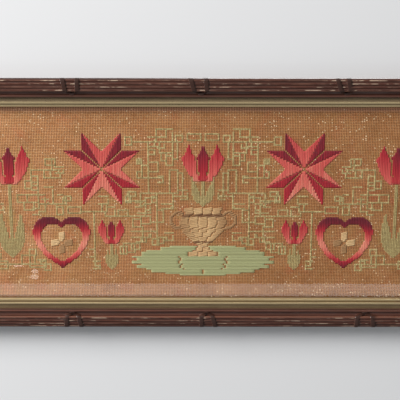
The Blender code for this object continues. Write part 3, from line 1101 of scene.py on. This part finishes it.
# %% Rule the chart
EMPTY, RED, SAGE, MOUND, STRAW = range(5)
HALF_COLUMNS = SIGHT_COLUMNS // 2
HALF_ROWS = SIGHT_ROWS // 2
across, up = np.meshgrid(np.arange(HALF_COLUMNS) + 0.5, np.arange(-HALF_ROWS, HALF_ROWS) + 0.5)
chart = np.zeros(across.shape, int)
tones = np.zeros(across.shape)


def lay(inside, thread, tone):
    """Give the squares inside an outline their thread and tone, from 0 deep to 1 pale."""
    chart[inside] = thread
    tones[inside] = np.broadcast_to(tone, chart.shape)[inside]


def tell_charted(what):
    print(what, "brings the chart to", int((chart != EMPTY).sum()), "squares of", chart.size)


def ombre(x, y, height):
    """Tone of shaded thread: deep at the top, coral in the middle, and deep again lower down."""
    wave = 0.5 - 0.5 * np.cos(2 * np.pi * (y / height - 0.04 * x / height))
    return 0.10 + 0.80 * np.clip(wave, 0, 1)


# %% Draw the stars
def star(x, y, petal):
    """Eight leaf-shaped points round a middle, each with a deep and a pale half."""
    far, near = np.maximum(np.abs(x), np.abs(y)), np.minimum(np.abs(x), np.abs(y))
    inside = (near > 0.4) & (near <= petal) & (far - near > 0.6) & (far - near <= petal)
    half = np.where(near > far / 2, 0.0, 1.0)
    tone = 0.22 + 0.40 * half + 0.30 * np.clip(0.5 - y / (4 * petal), 0, 1)
    lay(inside, RED, tone)


# columns: across, up, petal
for star_x, star_y, petal in ((62, 22, 11.5), (147, 26, 6.5)):
    star(across - star_x, up - star_y, petal)
    tell_charted("star")


# %% Draw the hearts
def heart(x, y, size, band):
    """A heart drawn as a thick line, with a small four-petalled flower inside."""
    def depth(scale):
        u, v = x / (size * scale * 0.86), (y + 0.10 * size) / (size * scale * 0.86)
        return (u * u + v * v - 1) ** 3 - u * u * v ** 3

    inner = 1 - band / size
    lay((depth(1.0) <= 0) & (depth(inner) > 0), RED, ombre(x, size - y, 2.2 * size))
    radius, turn = np.hypot(x, y), np.arctan2(y, x)
    flower = radius < size * 0.40 * np.abs(np.cos(2 * turn)) ** 0.6
    lay(flower & (radius > 0.8), STRAW, 0.35 + 0.4 * (np.cos(turn - 0.6) > 0))


# columns: across, up, size, band
for heart_x, heart_y, size, band in ((88, -26, 18.0, 4.8), (146, -22, 10.0, 3.2)):
    heart(across - heart_x, up - heart_y, size, band)
    tell_charted("heart")


# %% Draw the tulips
LEAF_TONE = 0.45
STEM_HALF = 0.8
# columns: angle, bend
LEAVES = ((1.05, 0.35), (2.09, -0.35))


def leaf(x, y, length, width, angle, bend):
    """A pointed leaf that starts at the origin and curls as it goes."""
    u = x * math.cos(angle) + y * math.sin(angle)
    v = -x * math.sin(angle) + y * math.cos(angle) - bend * u * u / length
    share = np.clip(u / length, 0, 1)
    inside = (u > 0) & (u < length) & (np.abs(v) < width * np.sin(np.pi * share ** 0.8))
    lay(inside, SAGE, LEAF_TONE)


def tulip(x, y, height, width):
    """A flower head of three petals with a crown of points."""
    rise = np.clip(y / height, 0, 1)
    half = width * np.sin(np.pi * (0.10 + 0.56 * rise)) ** 0.8
    crown = height * (1 - 0.34 * np.abs(np.sin(1.5 * np.pi * x / width)))
    middle_petal = width * (0.18 + 0.22 * rise)
    seams = (np.abs(np.abs(x) - middle_petal) < 0.55) & (rise > 0.18)
    inside = (y > 0) & (y < crown) & (np.abs(x) < half) & ~seams
    lay(inside, RED, np.where(np.abs(x) < middle_petal, 0.18, 0.42) + 0.42 * (1 - rise))


tulip(across, up - 14, 24, 13)
leaf(across, up + 1, 18, 2.6, 0.80, 0.45)
# columns: across, foot of the flower, height, width, root, leaf length, leaf width
for tulip_x, foot, height, width, root, leaf_length, leaf_width in (
        (119, 12, 26, 13.0, -36, 30, 3.4), (57, -27, 17, 8.5, -44, 13, 1.9)):
    tulip(across - tulip_x, up - foot, height, width)
    stem = (np.abs(across - tulip_x) < STEM_HALF) & (up > root) & (up < foot)
    lay(stem, SAGE, LEAF_TONE)
    for leaf_angle, leaf_bend in LEAVES:
        leaf(across - tulip_x, up - root, leaf_length, leaf_width, leaf_angle, leaf_bend)
    tell_charted("tulip")


# %% Draw the urn on its mound
def urn(x, y):
    """A footed urn with two handles, in shaded straw thread."""
    # columns: height, half width
    profile = np.array([(-35, 9), (-32, 9), (-31, 4), (-27, 3), (-25, 7), (-19, 13), (-12, 15),
                        (-8, 13), (-6, 10), (-5, 12), (-3, 12)])
    half = np.interp(y, profile[:, 0], profile[:, 1])
    body = (np.abs(x) < half) & (y > profile[0, 0]) & (y < profile[-1, 0])
    handle = np.abs(np.hypot((x - 15.5) / 0.9, y + 11) - 5) < 1.3
    lay(handle & ~body, STRAW, 0.35)
    sheen = 0.70 - 0.45 * np.abs(x - 3) / 15
    bands = (np.abs(y + 8) < 1) | (np.abs(y + 25.5) < 1)
    lay(body, STRAW, np.where(bands, 0.05, sheen))


MOUND_MIDDLE = -38
MOUND_HALF_HEIGHT = 10.5
MOUND_HALF_WIDTH = 44
MOUND_STEP = 3
mound_share = 1 - ((up - MOUND_MIDDLE) / MOUND_HALF_HEIGHT) ** 2
mound_half = MOUND_HALF_WIDTH * np.sqrt(np.clip(mound_share, 0, 1))
ragged = mound_half + MOUND_STEP * np.sin(up * 1.9) * (mound_half > 0)
mound = across < MOUND_STEP * np.round(ragged / MOUND_STEP)
lay(mound, MOUND, 0.5 + 0.06 * np.sin(up * 1.7))
urn(across, up)
lay((across < 1) & (np.abs(up - 6) < 8), SAGE, 0.5)
tell_charted("urn on its mound")

# %% [markdown]
# ## Let the vine grow
# Between the motifs runs a vine of right-angled lines and small open squares. It would take
# hours to chart by hand, and its charm is that it is uneven. So it grows: a seeded draw picks a
# square, keeps it if it is clear of the motifs and hardly runs beside another line, and ties it
# to its nearest neighbour with one bent line. Some squares are left open and some filled in.

# %% Grow the vine
VINE_SEED = 7
VINE_TRIES = 2200
VINE_SHARE = 0.10
BESIDE_MOST = 3
CLEARANCE = 2
SHORTEST_TIE = 2
LONGEST_TIE = 48
VINE_FLOOR = -45
VINE_ROOF = (48, 28)
ROOF_SLOPE = (72, 92)
SIDE_MARGIN = 2
BOX_SIDES = (3, 4, 4, 5, 5, 6, 8, 11, 15)
BOX_ROOM = 12
OPEN_BELOW = 0.30
FILLED_ABOVE = 0.85
FILLED_LARGEST = 16
LOOSE_BOXES_LEFT_OUT = 0.85


def neighbours(mask):
    """What lies above, below, to the right and to the left of each square of a mask."""
    padded = np.pad(mask, 1)
    return padded[2:, 1:-1], padded[:-2, 1:-1], padded[1:-1, 2:], padded[1:-1, :-2]


def widen(mask, steps):
    """Every square within some steps of the mask."""
    grown = mask.copy()
    for _ in range(steps):
        above, below, right, left = neighbours(grown)
        grown = grown | above | below | right | left
    return grown


def outline_cells(column, row, wide, high):
    """The squares of a small open box."""
    cells = [(column + step, row + side * high) for side in (0, 1) for step in range(wide + 1)]
    cells += [(column + side * wide, row + step) for side in (0, 1) for step in range(1, high)]
    return cells


def bent_cells(start, end, first_across):
    """The squares of a line with one bend."""
    (c0, r0), (c1, r1) = start, end
    bend = (c1, r0) if first_across else (c0, r1)
    cells = []
    for (ca, ra), (cb, rb) in (((c0, r0), bend), (bend, (c1, r1))):
        count = max(abs(cb - ca), abs(rb - ra))
        step_c, step_r = np.sign(cb - ca), np.sign(rb - ra)
        cells += [(ca + step_c * n, ra + step_r * n) for n in range(count + 1)]
    return cells


def fits(cells, barred, vine):
    """True if the squares stay clear of the motifs and hardly run beside the vine."""
    columns, rows = np.array(cells).T
    if columns.min() < 0 or columns.max() >= HALF_COLUMNS - SIDE_MARGIN:
        return False
    roof = np.interp(columns, ROOF_SLOPE, VINE_ROOF) + HALF_ROWS
    if rows.min() < VINE_FLOOR + HALF_ROWS or (rows > roof).any():
        return False
    beside = widen(vine, 1) & ~vine
    return not barred[rows, columns].any() and beside[rows, columns].sum() <= BESIDE_MOST


def draw_box(random):
    """The squares of one box of the vine, whole, open on one side or filled in."""
    wide, high = (int(side) for side in random.choice(BOX_SIDES, 2))
    column = int(random.integers(0, HALF_COLUMNS - BOX_ROOM))
    row = int(random.integers(VINE_FLOOR, VINE_ROOF[0] - high)) + HALF_ROWS
    box = outline_cells(column, row, wide, high)
    kind = random.random()
    if kind < OPEN_BELOW:
        box = box[:-high]
    elif kind > FILLED_ABOVE and wide * high <= FILLED_LARGEST:
        box = [(column + i, row + j) for i in range(wide + 1) for j in range(high + 1)]
    return box


def grow_vine():
    random = np.random.default_rng(VINE_SEED)
    barred = widen(chart != EMPTY, CLEARANCE)
    vine = np.zeros(chart.shape, bool)
    joints = []
    for _ in range(VINE_TRIES):
        box = draw_box(random)
        if vine.mean() > VINE_SHARE or not fits(box, barred, vine):
            continue
        corner = box[int(random.integers(0, len(box)))]
        near = sorted(joints, key=lambda j: abs(j[0] - corner[0]) + abs(j[1] - corner[1]))[:3]
        ties = [bent_cells(corner, joint, bool(random.integers(0, 2))) for joint in near]
        ties = [tie for tie in ties
                if SHORTEST_TIE < len(tie) < LONGEST_TIE and fits(tie, barred, vine)]
        columns, rows = np.array(box).T
        loose = bool(joints) and not ties and not vine[rows, columns].any()
        if loose and random.random() < LOOSE_BOXES_LEFT_OUT:
            continue
        for cells in [box] + ties[:1]:
            columns, rows = np.array(cells).T
            vine[rows, columns] = True
        joints.append(corner)
    return vine


faded = np.random.default_rng(VINE_SEED).uniform(0.20, 0.90, chart.shape)
lay(grow_vine() & (chart == EMPTY), SAGE, faded)
chart = np.concatenate([chart[:, ::-1], chart], axis=1)
tones = np.concatenate([tones[:, ::-1], tones], axis=1)
print("vine and leaves", int((chart == SAGE).sum()), "squares")

# %% Let the dyes stain the paper
STAIN_REACH = 10


def soften(mask, steps):
    """Blur a mask of chart squares, by sharing each with its neighbours."""
    soft = mask.astype(float)
    for _ in range(steps):
        soft = sum((*neighbours(soft), soft)) / 5
    return soft


def stain_sheet():
    """Store on the sheet how much thread lies near each of its points."""
    near_thread = soften(chart != EMPTY, STAIN_REACH)
    places = np.empty(len(sheet.data.vertices) * 3, np.float32)
    sheet.data.vertices.foreach_get("co", places)
    x, _y, z = places.reshape(-1, 3).T
    column = np.clip(x / PITCH + HALF_COLUMNS, 0, chart.shape[1] - 1).astype(int)
    row = np.clip((z - CENTRE_Z) / PITCH + HALF_ROWS, 0, chart.shape[0] - 1).astype(int)
    layer = sheet.data.attributes.new("dye", "FLOAT", "POINT")
    layer.data.foreach_set("value", near_thread[row, column].astype(np.float32))
    return near_thread


print("most thread near a point", round(float(stain_sheet().max()), 2))

# %% [markdown]
# ## Stitches
# Each stitch is a strand that rises from one hole and sinks into another. Red, straw and mound
# are laid in long stitches, one for each run of like squares, which gives them their sheen: the
# red ones stand upright, the straw ones slant and the mound's lie level. The vine is cross
# stitch, one leg over the other. The strands of a thread are joined meshes, made at once from
# arrays, because thousands of objects would be slow.

# %% Twist the strands
SUNK = 0.25 * MM
DIVE = 0.9 * MM
SLACK = 0.03 * MM
INSET = 0.01
PINCHED = 0.55
PLUMP = 0.12
FATNESS = (0.94, 1.06)


def tone_at(x, z):
    """The chart's tone at a place on the sheet."""
    column = (x / PITCH + HALF_COLUMNS).astype(int)
    row = ((z - CENTRE_Z) / PITCH + HALF_ROWS).astype(int)
    return tones[row, column]


def strand_lines(starts, ends, share, random):
    """The straight and the bowed lines of strands, their sideways directions and lengths."""
    run = ends - starts
    length = np.linalg.norm(run, axis=1)
    sideways = np.column_stack([-run[:, 1], run[:, 0]]) / length[:, None]
    bow = random.normal(0, SLACK, len(starts))[:, None] * np.sin(np.pi * share)[None, :]
    straight = starts[:, None, :] + run[:, None, :] * share[None, :, None]
    return straight, straight + sideways[:, None, :] * bow[:, :, None], sideways, length


def strand_faces(count, steps, sides):
    """Sides and caps of strands whose points are stored one strand after another."""
    base = np.arange(count)[:, None, None] * (steps + 1) * sides
    faces = (ring_faces(steps + 1, sides)[None] + base).reshape(-1, 4).tolist()
    caps = np.stack([np.arange(sides), np.arange(sides) + steps * sides])
    return faces + (caps[None] + base).reshape(-1, sides).tolist()


def make_strands(name, starts, ends, width, thickness, lift, fineness, material):
    """Strands between (x, z) pairs, laid flat on the paper and pinched into their holes."""
    steps, sides = fineness
    count = len(starts)
    random = np.random.default_rng(count)
    share = (1 - np.cos(np.pi * np.linspace(0.0, 1.0, steps + 1))) / 2
    inset = (ends - starts) * INSET
    straight, line, sideways, length = strand_lines(starts + inset, ends - inset, share, random)
    from_end = np.minimum(share, 1 - share)[None, :] * length[:, None] / DIVE
    laid = np.sqrt(np.clip(from_end, 0.0, 1.0))
    plump = random.uniform(-PLUMP, PLUMP, count)[:, None] * thickness
    rise = -SUNK + (SUNK + 0.5 * thickness) * laid + plump * laid
    rise = rise + lift * np.sin(np.pi * share)[None, :] ** 2
    pinch = PINCHED + (1 - PINCHED) * laid
    turn = np.arange(sides) * 2 * np.pi / sides
    fat = width * random.uniform(*FATNESS, count)
    out = (fat[:, None] / 2 * pinch)[:, :, None] * np.cos(turn)
    top = (thickness / 2 * pinch)[:, :, None] * np.sin(turn) + rise[:, :, None]
    x = line[:, :, None, 0] + sideways[:, None, None, 0] * out
    z = line[:, :, None, 1] + sideways[:, None, None, 1] * out
    points = np.stack([x, sheet_low.y - swell(x, z) - top, z], axis=-1).reshape(-1, 3)
    lie = np.stack(np.broadcast_arrays(length[:, None, None] * share[None, :, None],
                                       turn[None, None, :] / (2 * np.pi),
                                       random.random(count)[:, None, None]), axis=-1)
    tone = np.repeat(tone_at(straight[:, :, 0], straight[:, :, 1]).ravel(), sides)
    stored = {"tone": tone, "lie": lie.reshape(-1, 3)}
    return make_piece(name, points, strand_faces(count, steps, sides), stored, material)


# %% Find the holes
def hole(column, row):
    """Place of the hole at a chart corner, as (x, z)."""
    return np.column_stack([(np.asarray(column) - HALF_COLUMNS) * PITCH,
                            (np.asarray(row) - HALF_ROWS) * PITCH + CENTRE_Z])


print("first hole at", hole(0, 0).round(4).tolist())


# %% Spin the thread's finish
TWISTS = 5200
PLIES = 4 * math.pi
THREAD_RELIEF = 0.12 * MM


def make_thread(name, stops, roughness, uneven=0.10):
    """Thread whose colour follows its tone, with a fine twist along each strand."""
    material, start = new_finish(name)
    lie = attribute(start, "lie", 1)
    tone = attribute(start, "tone")
    along, around, drawn = (part_of(lie, axis) for axis in range(3))
    twist = start.sum("SINE", along * TWISTS + around * PLIES)
    fuzz = noise(stretch(lie, 900, 9, 40))
    value = tone + (drawn - 0.5) * uneven + (fuzz - 0.5) * 0.16 + twist * 0.02
    return close_surface(material, start, {
        "Base Color": ramp(value, stops), "Roughness": roughness, "Specular IOR Level": 0.4,
        "Sheen Weight": 0.05, "Sheen Roughness": 0.45,
        "Normal": bump(twist * 0.25 + fuzz, THREAD_RELIEF, 0.7)})


red_thread = make_thread("shaded_red_thread", [
    (0.00, (0.095, 0.009, 0.018)), (0.25, (0.190, 0.011, 0.022)), (0.50, (0.430, 0.018, 0.030)),
    (0.75, (0.640, 0.110, 0.090)), (1.00, (0.800, 0.330, 0.220))], 0.55)
sage_thread = make_thread("sage_thread", [
    (0.0, (0.330, 0.222, 0.088)), (0.5, (0.500, 0.382, 0.165)),
    (1.0, (0.690, 0.560, 0.275))], 0.65, 0.35)
mound_thread = make_thread("mound_thread", [
    (0.0, (0.270, 0.250, 0.115)), (0.5, (0.410, 0.405, 0.200)),
    (1.0, (0.560, 0.550, 0.300))], 0.65)
straw_thread = make_thread("straw_thread", [
    (0.0, (0.190, 0.085, 0.035)), (0.4, (0.400, 0.215, 0.095)), (0.7, (0.620, 0.390, 0.190)),
    (1.0, (0.780, 0.560, 0.320))], 0.48)


# %% Work the long stitches
TONE_JUMP = 0.14
LONG_FINENESS = (12, 6)


def satin_runs(thread, longest, upright):
    """One row of (line, from, to) for each run of like squares, up the columns or along rows."""
    marks = np.where(chart == thread, 1.0 + tones, 0.0)
    found = []
    for line, values in enumerate(marks.T if upright else marks):
        edges = np.flatnonzero(np.abs(np.diff(values, prepend=0.0, append=0.0)) > TONE_JUMP)
        for first, end in zip(edges[:-1], edges[1:]):
            if values[first] > 0:
                cuts = np.linspace(first, end, math.ceil((end - first) / longest) + 1)
                found += [(line, low, high) for low, high in zip(cuts[:-1], cuts[1:])]
    return np.array(found, float)


def long_stitches(name, thread, longest, upright, slant, width, thickness, material):
    line, low, high = satin_runs(thread, longest, upright).T
    if upright:
        starts, ends = hole(line + 0.5, low), hole(line + 0.5, high)
    else:
        starts, ends = hole(low, line + (1 - slant) / 2), hole(high, line + (1 + slant) / 2)
    piece = make_strands(name, starts, ends, width, thickness, 0.0, LONG_FINENESS, material)
    print(name, len(line), "stitches", len(piece.data.polygons), "faces")
    return piece


red_stitches = long_stitches("red_stitches", RED, 40, True, 0.0, 1.90 * MM, 0.56 * MM, red_thread)
straw_stitches = long_stitches("straw_stitches", STRAW, 6, False, 0.9, 1.86 * MM, 0.50 * MM,
                               straw_thread)
mound_stitches = long_stitches("mound_stitches", MOUND, 34, False, 0.0, 1.62 * MM, 0.50 * MM,
                               mound_thread)


# %% Work the cross stitches
CROSS_FINENESS = (4, 4)
CROSS_LIFT = 0.22 * MM
CROSS_WEAR = (0.70, 1.12)


def cross_stitches(name, thread, width, thickness, material):
    """Crosses worked in two passes, as a worker does: all the legs below, then those above."""
    rows, columns = np.nonzero(chart == thread)
    worn = width * np.random.default_rng(len(rows)).uniform(*CROSS_WEAR, len(rows))
    passes = (("under", hole(columns, rows), hole(columns + 1, rows + 1), 0.0),
              ("over", hole(columns + 1, rows), hole(columns, rows + 1), CROSS_LIFT))
    pieces = []
    for leg, starts, ends, lift in passes:
        piece = make_strands(f"{name}_{leg}", starts, ends, worn, thickness, lift,
                             CROSS_FINENESS, material)
        print(piece.name, len(rows), "legs", len(piece.data.polygons), "faces")
        pieces.append(piece)
    return pieces


threads = [red_stitches, straw_stitches, mound_stitches]
threads += cross_stitches("sage_stitches", SAGE, 1.20 * MM, 0.42 * MM, sage_thread)
